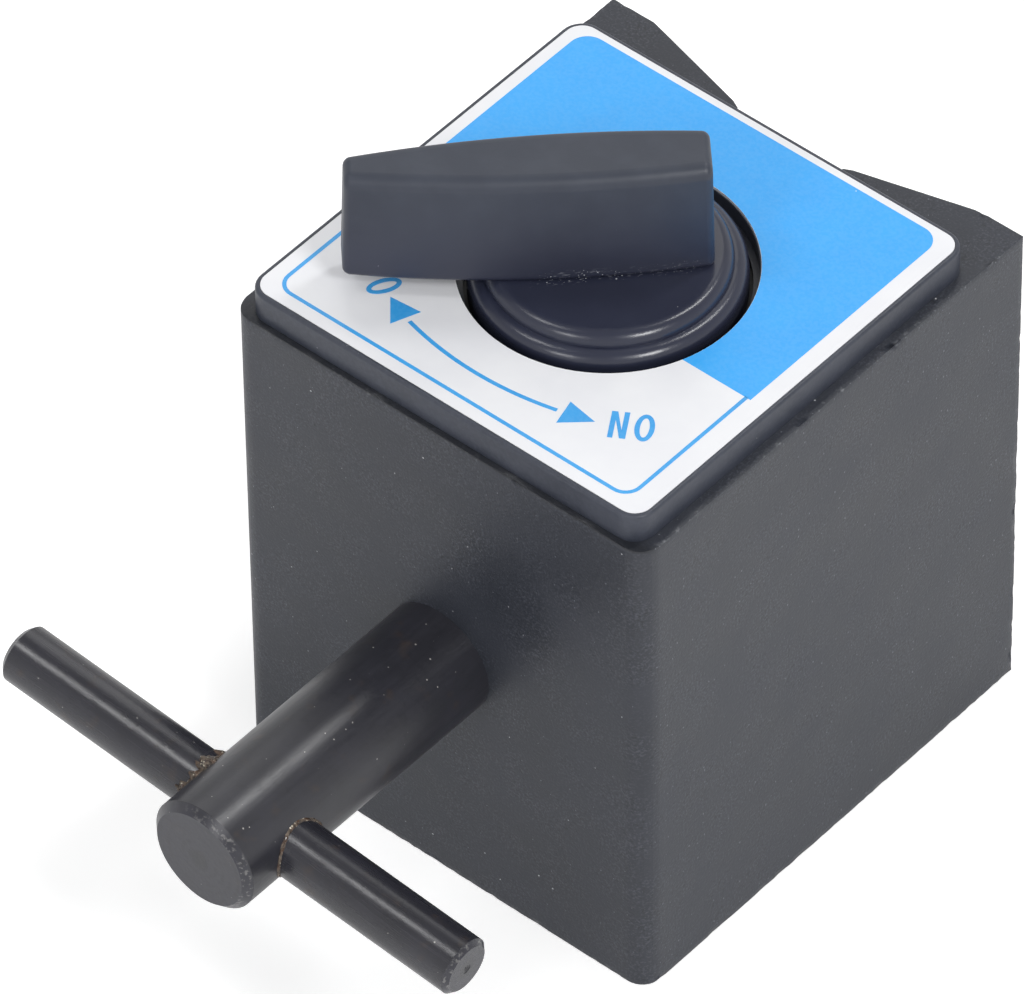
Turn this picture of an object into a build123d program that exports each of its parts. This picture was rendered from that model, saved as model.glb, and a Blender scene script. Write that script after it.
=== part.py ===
from build123d import *
import os
from math import atan, cos, degrees, radians, sin, sqrt, tan

# Switchable magnetic base: a split iron block with a turning magnet rotor, a knob on its
# front end, a V-grooved working face and a T-shaped post. Millimetres throughout.
# Z is the knob's axis and z = 0 the rear end face. The post points to -Y and the
# grooved face looks to +Y. The knob is modelled at OFF.

# Iron block
body_width = 50.0
body_length = 58.5
post_face = 24.45
land_face = 30.15
corner_round = 2.2
rim_chamfer = 0.3

# V groove in the working face
groove_half_width = 19.9
groove_flank_angle = 15.0
groove_relief_width = 0.9
groove_relief_drop = 0.45
groove_floor_depth = 4.9

# Gap between the poles, filled by the two non-magnetic strips
pole_gap = 12.8

# Bore for the rotor and its seats
rotor_bore = 32.0
front_seat_shoulder = 3.0
front_seat_depth = 4.0
rear_pocket_shoulder = 5.0
rear_pocket_depth = 3.5
rear_pocket_corner = 4.0
seat_clearance = 0.1

# Front cover, its label and its screws
cover_size = 47.6
cover_thickness = 3.2
cover_corner = 2.35
cover_edge_round = 0.35
cover_rim = 0.45
cover_ledge = 1.0
label_thickness = 0.3
label_clearance = 0.05
label_hole_margin = 0.1
cover_screw_spacing = 35.0

# Countersunk screws, one size for the front cover and the rear plate
screw_diameter = 4.0
screw_length = 9.0
screw_head = 7.4
screw_socket = 2.5
screw_socket_depth = 1.4
screw_clearance = 0.3
thread_clearance = 0.05
thread_reserve = 1.5

# Rear plate
rear_plate_floor = 1.2
rear_screw_recess = 0.1
rear_screw_inset = 7.0

# Bearings
journal = 8.0
shaft = 10.0
running_clearance = 0.03
bush_wall = 1.5
bush_flange = 16.0
bush_flange_thickness = 0.8
axial_clearance = 0.15
thrust_washer = 17.0
thrust_washer_thickness = 0.8

# Rotor
rotor_clearance = 0.3
rotor_flange = 3.0
magnet_thickness = 14.0
magnet_corner_clearance = 0.3
magnet_count = 2
magnet_gap = 0.1
rivet = 3.0
rivet_head = 5.0
rivet_head_depth = 1.0
rivet_offset = 5.0
rivet_from_magnet = 3.8
rivet_clearance = 0.05

# Stop for the quarter turn
turn = 90.0
stop_pin_diameter = 3.0
stop_pin_inset = 2.7
stop_engagement = 2.2
stop_clearance = 0.3

# Knob
lever_angle = 223.7
knob_skirt = 26.2
knob_skirt_round = 1.3
knob_skirt_gap = 1.0
knob_ledge_gap = 0.35
knob_step = 1.35
knob_step_height = 0.75
knob_disc_height = 2.1
knob_disc_round = 1.3
knob_floor_gap = 0.4
knob_socket_height = 1.3
lever_hub = 9.75
lever_middle = 4.5
lever_tip = 24.6
lever_foot_hub = 3.1
lever_foot_middle = 4.05
lever_foot_tip = 2.1
lever_top_hub = 3.0
lever_top_middle = 3.6
lever_top_tip = 1.85
lever_draft = 0.4
lever_underside = 2.0
lever_height_hub = 14.45
lever_height_tip = 14.0
lever_edge_round = 1.3
lever_foot_round = 0.65
lever_end_round = 0.8
drive_flat = 4.0
drive_clearance = 0.05
knob_pin = 2.0
knob_pin_inset = 0.6
knob_pin_height = 1.6

# T post and cross pin
post_diameter = 12.0
post_length = 33.7
post_height = 28.9
post_chamfer = 0.8
stud = 8.0
stud_length = 7.0
stud_chamfer = 0.6
pin_diameter = 6.0
pin_length = 55.0
pin_distance = 26.5
pin_offset = -1.2
pin_turn = -5.2
pin_chamfer = 0.5
pin_centre_mark = 1.0
pin_hole_clearance = 0.03
pin_relief = 0.3
pin_relief_reach = 0.1
bead_width = 0.3
bead_reach = 0.3

# Rotor and its seats, worked out from the values above
rotor_radius = rotor_bore / 2 - rotor_clearance
magnet_corner = rotor_radius - magnet_corner_clearance
magnet_width = 2 * sqrt(magnet_corner**2 - (magnet_thickness / 2) ** 2)
rivet_height = magnet_thickness / 2 + rivet_from_magnet
stop_radius = rotor_radius - stop_pin_inset
front_seat = rotor_bore + 2 * front_seat_shoulder
rear_pocket = rotor_bore + 2 * rear_pocket_shoulder
rear_screw_spacing = rear_pocket - 2 * rear_screw_inset

# Knob and the holes around it
knob_disc = knob_skirt - 2 * knob_step
cover_hole = knob_skirt + 2 * knob_skirt_gap
cover_ledge_hole = knob_skirt + 2 * knob_ledge_gap
label_hole = cover_hole + 2 * label_hole_margin
knob_pin_length = knob_skirt - 2 * knob_pin_inset

# Heights along the knob's axis
front_face = body_length
label_face = front_face + cover_thickness
front_seat_floor = front_face - front_seat_depth
rear_bush_top = rear_pocket_depth + bush_flange_thickness
rotor_start = rear_bush_top + axial_clearance
front_bush_bottom = front_seat_floor - bush_flange_thickness
washer_bottom = front_bush_bottom - axial_clearance - thrust_washer_thickness
rotor_end = washer_bottom
core_start = rotor_start + rotor_flange
journal_end = rear_plate_floor + axial_clearance
core_end = rotor_end - rotor_flange
core_length = core_end - core_start
knob_bottom = front_face + knob_floor_gap
shaft_top = label_face + knob_socket_height - drive_clearance
knob_pin_axis = knob_bottom + knob_pin_height
lever_direction = (cos(radians(lever_angle)), sin(radians(lever_angle)), 0)
knob_pin_plane = Plane((0, 0, knob_pin_axis), x_dir=(0, 0, 1), z_dir=lever_direction)

os.makedirs("parts", exist_ok=True)


def save(part, name):
    part.label = name
    export_step(part, f"parts/{name}.step")


# Solid outline of the block, with its groove, bore and seats
flank_run = groove_half_width - pole_gap / 2 - groove_relief_width
flank_end = land_face - flank_run * tan(radians(groove_flank_angle))
relief_end = flank_end - groove_relief_drop
groove_floor = land_face - groove_floor_depth
half_outline = [
    (body_width / 2, -post_face),
    (body_width / 2, land_face),
    (groove_half_width, land_face),
    (pole_gap / 2 + groove_relief_width, flank_end),
    (pole_gap / 2, relief_end),
    (pole_gap / 2, groove_floor),
]
outline = half_outline + [(-x, y) for x, y in reversed(half_outline)]

with BuildPart() as block:
    with BuildSketch() as block_outline:
        with BuildLine():
            Polyline(*outline, close=True)
        make_face()
        fillet(block_outline.vertices().group_by(Axis.Y)[0], corner_round)
    extrude(amount=body_length)
    chamfer(block.faces().filter_by(Axis.Z).edges(), rim_chamfer)
    with BuildSketch():
        Circle(rotor_bore / 2)
    extrude(amount=body_length, mode=Mode.SUBTRACT)
    with BuildSketch(Plane.XY.offset(front_seat_floor)):
        Circle(front_seat / 2)
    extrude(amount=front_seat_depth, mode=Mode.SUBTRACT)
    with BuildSketch():
        RectangleRounded(rear_pocket, rear_pocket, rear_pocket_corner)
    extrude(amount=rear_pocket_depth, mode=Mode.SUBTRACT)

# Soft iron poles, one on each side of the gap, tapped for the cover and plate screws
tapping = screw_diameter / 2 + thread_clearance
cover_tap_depth = screw_length - (cover_thickness - label_thickness) + thread_reserve
rear_tap_depth = screw_length + rear_screw_recess - rear_pocket_depth + thread_reserve

for name, side in (("pole_left", -1), ("pole_right", 1)):
    kept = Keep.TOP if side > 0 else Keep.BOTTOM
    with BuildPart() as pole:
        add(block.part)
        split(bisect_by=Plane.YZ.offset(side * pole_gap / 2), keep=kept)
        with BuildSketch(Plane.XY.offset(front_face)):
            with Locations((side * cover_screw_spacing / 2, 0)):
                with GridLocations(cover_screw_spacing, cover_screw_spacing, 1, 2):
                    Circle(tapping)
        extrude(amount=-cover_tap_depth, mode=Mode.SUBTRACT)
        with BuildSketch(Plane.XY.offset(rear_pocket_depth)):
            with Locations((side * rear_screw_spacing / 2, 0)):
                with GridLocations(rear_screw_spacing, rear_screw_spacing, 1, 2):
                    Circle(tapping)
        extrude(amount=rear_tap_depth, mode=Mode.SUBTRACT)
    save(pole.part, name)

# Strip under the post, tapped for the post's stud
with BuildPart() as post_strip:
    add(block.part)
    split(bisect_by=Plane.YZ.offset(pole_gap / 2), keep=Keep.BOTTOM)
    split(bisect_by=Plane.YZ.offset(-pole_gap / 2), keep=Keep.TOP)
    split(bisect_by=Plane.XZ, keep=Keep.TOP)
    with BuildSketch(Plane.XZ.offset(post_face)):
        with Locations((0, post_height)):
            Circle(stud / 2 + thread_clearance)
    extrude(amount=-post_face, mode=Mode.SUBTRACT)
save(post_strip.part, "post_strip")

# Strip at the bottom of the V groove
with BuildPart() as groove_strip:
    add(block.part)
    split(bisect_by=Plane.YZ.offset(pole_gap / 2), keep=Keep.BOTTOM)
    split(bisect_by=Plane.YZ.offset(-pole_gap / 2), keep=Keep.TOP)
    split(bisect_by=Plane.XZ, keep=Keep.BOTTOM)
save(groove_strip.part, "groove_strip")

# Front disc that closes the bore, carries the front bush and holds the stop slot
front_bush_radius = shaft / 2 + running_clearance + bush_wall
stop_slot_width = stop_pin_diameter + 2 * stop_clearance

with BuildPart() as front_disc:
    with BuildSketch(Plane.XY.offset(front_seat_floor)):
        Circle(front_seat / 2 - seat_clearance)
        Circle(front_bush_radius, mode=Mode.SUBTRACT)
    extrude(amount=front_seat_depth)
    with BuildSketch(Plane.XY.offset(front_seat_floor)):
        SlotArc(CenterArc((0, 0), stop_radius, 0, turn, mode=Mode.PRIVATE), stop_slot_width)
    extrude(amount=stop_engagement + stop_clearance, mode=Mode.SUBTRACT)
save(front_disc.part, "front_disc")

# Flanged bush in the front disc, for the knob's shaft
with BuildPart() as front_bush:
    with BuildSketch(Plane.XY.offset(front_bush_bottom)):
        Circle(bush_flange / 2)
    extrude(amount=bush_flange_thickness)
    with BuildSketch(Plane.XY.offset(front_seat_floor)):
        Circle(front_bush_radius)
    extrude(amount=front_seat_depth)
    with BuildSketch(Plane.XY.offset(front_bush_bottom)):
        Circle(shaft / 2 + running_clearance)
    extrude(amount=front_seat_depth + bush_flange_thickness, mode=Mode.SUBTRACT)
save(front_bush.part, "front_bush")

# Rear plate in its pocket, level with the rear face, with a blind bore for the rear bush
rear_bush_radius = journal / 2 + running_clearance + bush_wall
rear_plate_size = rear_pocket - 2 * seat_clearance
screw_hole = screw_diameter / 2 + screw_clearance / 2

with BuildPart() as rear_plate:
    with BuildSketch():
        RectangleRounded(rear_plate_size, rear_plate_size, rear_pocket_corner - seat_clearance)
    extrude(amount=rear_pocket_depth)
    with BuildSketch(Plane.XY.offset(rear_plate_floor)):
        Circle(rear_bush_radius)
    extrude(amount=rear_pocket_depth, mode=Mode.SUBTRACT)
    with Locations(Plane.XY.rotated((180, 0, 0))):
        with GridLocations(rear_screw_spacing, rear_screw_spacing, 2, 2):
            CounterSinkHole(screw_hole, screw_head / 2 + screw_clearance / 2, rear_pocket_depth)
save(rear_plate.part, "rear_plate")

# Flanged bush in the rear plate, for the rotor's journal
with BuildPart() as rear_bush:
    with BuildSketch(Plane.XY.offset(rear_pocket_depth)):
        Circle(bush_flange / 2)
    extrude(amount=bush_flange_thickness)
    with BuildSketch(Plane.XY.offset(rear_plate_floor)):
        Circle(rear_bush_radius)
    extrude(amount=rear_pocket_depth - rear_plate_floor)
    with BuildSketch(Plane.XY.offset(rear_plate_floor)):
        Circle(journal / 2 + running_clearance)
    extrude(amount=rear_bush_top - rear_plate_floor, mode=Mode.SUBTRACT)
save(rear_bush.part, "rear_bush")

# Front cover, with a recess for its label and a stepped hole around the knob
recess_size = cover_size - 2 * cover_rim
recess_floor = label_face - label_thickness
label_size = recess_size - 2 * label_clearance

with BuildPart() as front_cover:
    with BuildSketch(Plane.XY.offset(front_face)):
        RectangleRounded(cover_size, cover_size, cover_corner)
    extrude(amount=cover_thickness)
    fillet(front_cover.faces().sort_by(Axis.Z)[-1].edges(), cover_edge_round)
    with BuildSketch(Plane.XY.offset(label_face)):
        RectangleRounded(recess_size, recess_size, cover_corner - cover_rim)
    extrude(amount=-label_thickness, mode=Mode.SUBTRACT)
    with BuildSketch(Plane.XY.offset(front_face)):
        Circle(cover_ledge_hole / 2)
    extrude(amount=cover_thickness, mode=Mode.SUBTRACT)
    with BuildSketch(Plane.XY.offset(front_face + cover_ledge)):
        Circle(cover_hole / 2)
    extrude(amount=cover_thickness, mode=Mode.SUBTRACT)
    with Locations(Plane.XY.offset(recess_floor)):
        with GridLocations(cover_screw_spacing, cover_screw_spacing, 2, 2):
            CounterSinkHole(screw_hole, screw_head / 2 + screw_clearance / 2, cover_thickness)
save(front_cover.part, "front_cover")

# Label sheet in the cover's recess, level with the rim
with BuildPart() as front_label:
    with BuildSketch(Plane.XY.offset(recess_floor)):
        RectangleRounded(label_size, label_size, cover_corner - cover_rim - label_clearance)
        Circle(label_hole / 2, mode=Mode.SUBTRACT)
    extrude(amount=label_thickness)
save(front_label.part, "front_label")

# Countersunk socket screws: four hold the cover and four the rear plate
screw_cone = (screw_head - screw_diameter) / 2
screw_tip = screw_diameter / 8

with BuildPart() as screw:
    with BuildSketch(Plane.XZ):
        with BuildLine():
            Polyline(
                (0, 0),
                (screw_head / 2, 0),
                (screw_diameter / 2, -screw_cone),
                (screw_diameter / 2, screw_tip - screw_length),
                (screw_diameter / 2 - screw_tip, -screw_length),
                (0, -screw_length),
                close=True,
            )
        make_face()
    revolve(axis=Axis.Z)
    with BuildSketch():
        RegularPolygon(screw_socket / 2, 6, major_radius=False)
    extrude(amount=-screw_socket_depth, mode=Mode.SUBTRACT)

with BuildPart() as cover_screws:
    with Locations(Plane.XY.offset(recess_floor)):
        with GridLocations(cover_screw_spacing, cover_screw_spacing, 2, 2):
            add(screw.part)
save(cover_screws.part, "cover_screws")

with BuildPart() as rear_screws:
    with Locations(Plane.XY.offset(rear_screw_recess).rotated((180, 0, 0))):
        with GridLocations(rear_screw_spacing, rear_screw_spacing, 2, 2):
            add(screw.part)
save(rear_screws.part, "rear_screws")

# Rotor core: two soft iron segments on the flats of the magnets
rivet_sides = [(-1, -1), (-1, 1), (1, -1), (1, 1)]
rivet_spots = [(x * rivet_offset, y * rivet_height) for x, y in rivet_sides]
rivet_hole = rivet / 2 + rivet_clearance
rivet_sink = rivet_head / 2 + rivet_clearance

for name, side in (("rotor_pole_front", 1), ("rotor_pole_back", -1)):
    kept = Keep.TOP if side > 0 else Keep.BOTTOM
    with BuildPart() as rotor_pole:
        with BuildSketch(Plane.XY.offset(core_start)):
            Circle(rotor_radius)
            with Locations(*rivet_spots):
                Circle(rivet_hole, mode=Mode.SUBTRACT)
        extrude(amount=core_length)
        split(bisect_by=Plane.XZ.offset(side * magnet_thickness / 2), keep=kept)
    save(rotor_pole.part, name)

# Magnet blocks stacked along the rotor
block_pitch = core_length / magnet_count
block_length = block_pitch - magnet_gap
with BuildPart() as magnets:
    for step in range(magnet_count):
        with BuildSketch(Plane.XY.offset(core_start + magnet_gap / 2 + step * block_pitch)):
            Rectangle(magnet_width, magnet_thickness)
        extrude(amount=block_length)
save(magnets.part, "rotor_magnets")

# Rear flange of the rotor with its journal
with BuildPart() as rotor_rear_flange:
    with BuildSketch(Plane.XY.offset(rotor_start)):
        Circle(rotor_radius)
        with Locations(*rivet_spots):
            Circle(rivet_hole, mode=Mode.SUBTRACT)
    extrude(amount=rotor_flange)
    with BuildSketch(Plane.XY.offset(rotor_start)):
        with Locations(*rivet_spots):
            Circle(rivet_sink)
    extrude(amount=rivet_head_depth, mode=Mode.SUBTRACT)
    with BuildSketch(Plane.XY.offset(journal_end)):
        Circle(journal / 2)
    extrude(amount=rotor_start - journal_end)
save(rotor_rear_flange.part, "rotor_rear_flange")

# Front flange of the rotor with the shaft that carries the knob
with BuildPart() as rotor_front_flange:
    with BuildSketch(Plane.XY.offset(core_end)):
        Circle(rotor_radius)
        with Locations(*rivet_spots):
            Circle(rivet_hole, mode=Mode.SUBTRACT)
        with Locations((stop_radius, 0)):
            Circle(stop_pin_diameter / 2, mode=Mode.SUBTRACT)
    extrude(amount=rotor_flange)
    with BuildSketch(Plane.XY.offset(rotor_end)):
        with Locations(*rivet_spots):
            Circle(rivet_sink)
    extrude(amount=-rivet_head_depth, mode=Mode.SUBTRACT)
    with BuildSketch(Plane.XY.offset(rotor_end)):
        Circle(shaft / 2)
    extrude(amount=knob_bottom - rotor_end)
    with BuildSketch(Plane.XY.offset(knob_bottom)):
        Circle(shaft / 2)
        Rectangle(shaft, 2 * drive_flat, rotation=lever_angle, mode=Mode.INTERSECT)
    extrude(amount=shaft_top - knob_bottom)
    with BuildSketch(knob_pin_plane):
        Circle(knob_pin / 2)
    extrude(amount=shaft, both=True, mode=Mode.SUBTRACT)
save(rotor_front_flange.part, "rotor_front_flange")

# Four rivets that hold the rotor together
with BuildPart() as rotor_rivets:
    with BuildSketch(Plane.XY.offset(rotor_start)):
        with Locations(*rivet_spots):
            Circle(rivet / 2)
    extrude(amount=rotor_end - rotor_start)
    for head_bottom in (rotor_start, rotor_end - rivet_head_depth):
        with BuildSketch(Plane.XY.offset(head_bottom)):
            with Locations(*rivet_spots):
                Circle(rivet_head / 2)
        extrude(amount=rivet_head_depth)
save(rotor_rivets.part, "rotor_rivets")

# Pin that ends the knob's turn in the slot of the front disc
with BuildPart() as stop_pin:
    with BuildSketch(Plane.XY.offset(core_end)):
        with Locations((stop_radius, 0)):
            Circle(stop_pin_diameter / 2)
    extrude(amount=front_seat_floor + stop_engagement - core_end)
save(stop_pin.part, "stop_pin")

# Washer between the rotor and the front bush
with BuildPart() as washer:
    with BuildSketch(Plane.XY.offset(washer_bottom)):
        Circle(thrust_washer / 2)
        Circle(shaft / 2 + seat_clearance, mode=Mode.SUBTRACT)
    extrude(amount=thrust_washer_thickness)
save(washer.part, "thrust_washer")

# Knob lever: barrel-sided, drafted towards its top, which falls towards the tip
lever_slope = atan((lever_height_hub - lever_height_tip) / (lever_hub + lever_tip))
lever_height_axis = lever_height_hub - lever_hub * tan(lever_slope)
lever_plane = Plane((0, 0, label_face), x_dir=lever_direction, z_dir=(0, 0, 1))
foot_plane = lever_plane.offset(lever_underside)
top_plane = lever_plane.offset(lever_height_axis).rotated((0, -degrees(lever_slope), 0))


def lever_section(plane, hub, tip, hub_width, middle_width, tip_width):
    with BuildSketch(plane) as section:
        with BuildLine():
            ThreePointArc((-hub, -hub_width), (lever_middle, -middle_width), (tip, -tip_width))
            Line((tip, -tip_width), (tip, tip_width))
            ThreePointArc((tip, tip_width), (lever_middle, middle_width), (-hub, hub_width))
            Line((-hub, hub_width), (-hub, -hub_width))
        make_face()
    return section.sketch


foot_section = lever_section(
    foot_plane, lever_hub, lever_tip, lever_foot_hub, lever_foot_middle, lever_foot_tip
)
top_section = lever_section(
    top_plane,
    lever_hub - lever_draft / 2,
    lever_tip - lever_draft,
    lever_top_hub,
    lever_top_middle,
    lever_top_tip,
)

with BuildPart() as lever:
    loft([foot_section, top_section])
    fillet(lever.faces().sort_by(Axis.Z)[-1].edges().sort_by(SortBy.LENGTH)[-2:], lever_edge_round)
    lever_axis = Axis((0, 0, label_face), lever_direction)
    for end in (0, -1):
        end_edges = lever.faces().sort_by(lever_axis)[end].edges().sort_by(Axis.Z)[1:]
        fillet(end_edges, lever_end_round)
    fillet(lever.faces().sort_by(Axis.Z)[0].edges(), lever_foot_round)

# Knob body: skirt inside the cover's hole, step, raised disc and the lever
with BuildPart() as knob:
    with BuildSketch(Plane.XZ) as knob_profile:
        with BuildLine():
            Polyline(
                (0, knob_bottom),
                (knob_skirt / 2, knob_bottom),
                (knob_skirt / 2, label_face + knob_step_height),
                (knob_disc / 2, label_face + knob_step_height),
                (knob_disc / 2, label_face + knob_disc_height),
                (0, label_face + knob_disc_height),
                close=True,
            )
        make_face()
        rim = knob_profile.vertices().group_by(Axis.X)
        fillet(rim[-1].sort_by(Axis.Y)[-1], knob_skirt_round)
        fillet(knob_profile.vertices().group_by(Axis.Y)[-1].sort_by(Axis.X)[-1], knob_disc_round)
    revolve(axis=Axis.Z)
    add(lever.part)
    with BuildSketch(Plane.XY.offset(knob_bottom)):
        Circle(shaft / 2 + drive_clearance)
        socket_flat = 2 * (drive_flat + drive_clearance)
        socket_width = shaft + 2 * drive_clearance
        Rectangle(socket_width, socket_flat, rotation=lever_angle, mode=Mode.INTERSECT)
    extrude(amount=label_face + knob_socket_height - knob_bottom, mode=Mode.SUBTRACT)
    with BuildSketch(knob_pin_plane):
        Circle(knob_pin / 2)
    extrude(amount=knob_skirt, both=True, mode=Mode.SUBTRACT)
save(knob.part, "knob")

# Pin through the knob's skirt and the shaft
with BuildPart() as skirt_pin:
    with BuildSketch(knob_pin_plane):
        Circle(knob_pin / 2)
    extrude(amount=knob_pin_length / 2, both=True)
save(skirt_pin.part, "knob_pin")

# T post with the stud that screws into its strip
post_plane = Plane.XZ.offset(post_face)
cross_y = -(post_face + pin_distance)
pin_direction = (cos(radians(pin_turn)), 0, sin(radians(pin_turn)))
pin_plane = Plane((0, cross_y, post_height), x_dir=(0, 1, 0), z_dir=pin_direction)

with BuildPart() as tee_post:
    with BuildSketch(post_plane):
        with Locations((0, post_height)):
            Circle(post_diameter / 2)
    extrude(amount=post_length)
    chamfer(tee_post.faces().sort_by(Axis.Y)[0].edges(), post_chamfer)
    with BuildSketch(post_plane):
        with Locations((0, post_height)):
            Circle(stud / 2)
    extrude(amount=-stud_length)
    chamfer(tee_post.faces().sort_by(Axis.Y)[-1].edges(), stud_chamfer)
    with BuildSketch(pin_plane):
        Circle(pin_diameter / 2 + pin_hole_clearance)
    extrude(amount=post_diameter, both=True, mode=Mode.SUBTRACT)
save(tee_post.part, "tee_post")

# Cross pin through the post, a little off centre and a little turned. Between its arms
# it is a touch thinner, for the adhesive
pin_mark_depth = pin_centre_mark / 2
pin_relief_half = post_diameter / 2 + bead_reach + pin_relief_reach
pin_relief_radius = pin_diameter / 2 - pin_relief
with BuildPart() as cross_pin:
    with BuildSketch(pin_plane.offset(pin_offset)):
        Circle(pin_diameter / 2)
    extrude(amount=pin_length / 2, both=True)
    chamfer(cross_pin.faces().filter_by(GeomType.PLANE).edges(), pin_chamfer)
    for end in (-1, 1):
        with BuildSketch(pin_plane.offset(pin_offset + end * pin_length / 2)):
            Circle(pin_centre_mark / 2)
        extrude(amount=-end * pin_mark_depth, mode=Mode.SUBTRACT)
    with BuildSketch(pin_plane):
        Circle(pin_diameter)
        Circle(pin_relief_radius, mode=Mode.SUBTRACT)
    extrude(amount=pin_relief_half, both=True, mode=Mode.SUBTRACT)
save(cross_pin.part, "cross_pin")

# Beads that hold the pin where it enters the post
bead_start = post_diameter / 4
bead_length = post_diameter / 2 + bead_reach - bead_start
bead_taper = degrees(atan(bead_width / bead_length))
with BuildPart() as pin_beads:
    for end in (-1, 1):
        with BuildSketch(pin_plane.offset(end * bead_start)):
            Circle(pin_diameter / 2 + pin_hole_clearance + 2 * bead_width)
        extrude(amount=end * bead_length, taper=bead_taper)
    with BuildSketch(post_plane):
        with Locations((0, post_height)):
            Circle(post_diameter / 2)
    extrude(amount=post_length, mode=Mode.SUBTRACT)
    with BuildSketch(pin_plane):
        Circle(pin_relief_radius)
    extrude(amount=post_diameter, both=True, mode=Mode.SUBTRACT)
save(pin_beads.part, "pin_beads")
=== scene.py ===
from math import cos, pi, radians, sin, tan

import bmesh
import bpy
from mathutils import Matrix, Vector, noise


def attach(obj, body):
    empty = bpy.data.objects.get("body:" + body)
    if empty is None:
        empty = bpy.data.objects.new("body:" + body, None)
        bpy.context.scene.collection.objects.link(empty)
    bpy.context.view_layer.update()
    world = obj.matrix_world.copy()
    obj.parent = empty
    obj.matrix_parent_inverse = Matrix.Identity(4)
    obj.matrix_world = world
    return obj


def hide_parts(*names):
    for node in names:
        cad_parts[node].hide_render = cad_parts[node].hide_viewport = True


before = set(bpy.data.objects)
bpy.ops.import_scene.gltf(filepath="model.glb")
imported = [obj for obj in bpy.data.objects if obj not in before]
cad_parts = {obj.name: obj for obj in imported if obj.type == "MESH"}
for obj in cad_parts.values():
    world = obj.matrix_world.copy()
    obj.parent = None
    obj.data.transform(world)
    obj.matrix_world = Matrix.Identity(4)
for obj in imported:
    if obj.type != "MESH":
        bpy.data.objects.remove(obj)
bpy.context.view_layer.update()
mm = 0.001
print("frame loaded:", len(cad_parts), "nodes")

# Camera: the photograph's angle, solved from the block's straight edges
shot = {
    "azimuth": 41.305, "elevation": 45.67, "roll": -0.861,   # degrees
    "distance": 1154.7,                                      # mm from the target
    "target": (-14.416, 2.85, 19.442),                       # mm
    "focalLength": 12087.0,                                  # in pixels of the photograph
    "centre": (514.53, 495.265), "image": (1024, 994),       # pixels
    "sensor": 36.0,                                          # mm
    "clip": (0.05, 20),                                      # metres
}


def placeCamera():
    turn, lift, roll = (radians(shot[name]) for name in ("azimuth", "elevation", "roll"))
    back = Vector((sin(turn) * cos(lift), -cos(turn) * cos(lift), sin(lift)))
    side = Vector((cos(turn), sin(turn), 0))
    above = back.cross(side)
    across = side * cos(roll) + above * sin(roll)
    upward = above * cos(roll) - side * sin(roll)
    data = bpy.data.cameras.new("photoCamera")
    camera = bpy.data.objects.new("photoCamera", data)
    bpy.context.scene.collection.objects.link(camera)
    wide, tall = shot["image"]
    data.sensor_width = shot["sensor"]
    data.lens = shot["focalLength"] * shot["sensor"] / wide
    data.shift_x = (wide / 2 - shot["centre"][0]) / wide
    data.shift_y = (shot["centre"][1] - tall / 2) / wide
    data.clip_start, data.clip_end = shot["clip"]
    turned = Matrix((across, upward, back)).transposed().to_4x4()
    spot = (Vector(shot["target"]) + back * shot["distance"]) * mm
    camera.matrix_world = Matrix.Translation(spot) @ turned
    bpy.context.scene.camera = camera


placeCamera()
bpy.context.scene.view_settings.view_transform = "Standard"
print("camera placed")


def linear(colour):        # sRGB hex to linear
    values = [int(colour[i:i + 2], 16) / 255 for i in (1, 3, 5)]
    return [v / 12.92 if v <= 0.04045 else ((v + 0.055) / 1.055) ** 2.4 for v in values] + [1.0]


def addNode(tree, kind, settings=None, links=None):        # a link is an output, or a node for its first one
    node = tree.nodes.new(kind)
    for name, value in (settings or {}).items():
        if isinstance(name, str) and hasattr(node, name):
            setattr(node, name, value)
        else:
            node.inputs[name].default_value = value
    for name, source in (links or {}).items():
        output = source if isinstance(source, bpy.types.NodeSocket) else source.outputs[0]
        tree.links.new(output, node.inputs[name])
    return node


# Floor and light: a plain white table in a soft studio. Two softboxes light the near sides,
# a broad panel behind gives the faces that look up their sheen, and two strips draw the thin
# highlights along the post and the pin
studio = {
    "floorSize": 4.0,                                        # metres
    "floorDrop": 0.05,                                       # mm, keeps the floor clear of the rear face
    "floorColour": "#F4F4F4",
    "floorGlow": 0.38, "mirrorGlow": 0.06,                   # for camera rays, and in reflections
    "worldLow": 0.95, "worldHigh": 0.34, "worldTop": 0.9,    # strength at the horizon and from this height up
    "lampAim": (0, 0, 0.03),                                 # metres
}
lamps = {                                                    # metres
    "rightBox": {"at": (0.685, -0.17, 0.75), "size": (0.24, 0.24), "watts": 3.75},
    "leftBox": {"at": (0.077, -0.83, 0.62), "size": (0.24, 0.24), "watts": 1.5},
    "backPanel": {"at": (-0.44, 0.49, 0.68), "size": (0.5, 0.5), "watts": 0.8},
    "backStrip": {"at": (0.1, 0.5, 0.9), "size": (0.12, 0.3), "watts": 1.8},
    "leftStrip": {"at": (-0.33, -0.33, 0.92), "size": (0.12, 0.3), "watts": 1.0},
}


def makeWorld():
    world = bpy.data.worlds.new("softStudio")
    world.use_nodes = True
    bpy.context.scene.world = world
    tree = world.node_tree
    tree.nodes.clear()
    place = addNode(tree, "ShaderNodeTexCoord")
    parts = addNode(tree, "ShaderNodeSeparateXYZ", links={0: place.outputs["Generated"]})
    strength = addNode(tree, "ShaderNodeMapRange",
                       {"From Min": 0.0, "From Max": studio["worldTop"], "To Min": studio["worldLow"],
                        "To Max": studio["worldHigh"]}, {"Value": parts.outputs["Z"]})
    light = addNode(tree, "ShaderNodeBackground", {"Color": linear("#FFFFFF")},
                    {"Strength": strength.outputs[0]})
    addNode(tree, "ShaderNodeOutputWorld", links={"Surface": light.outputs[0]})


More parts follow.
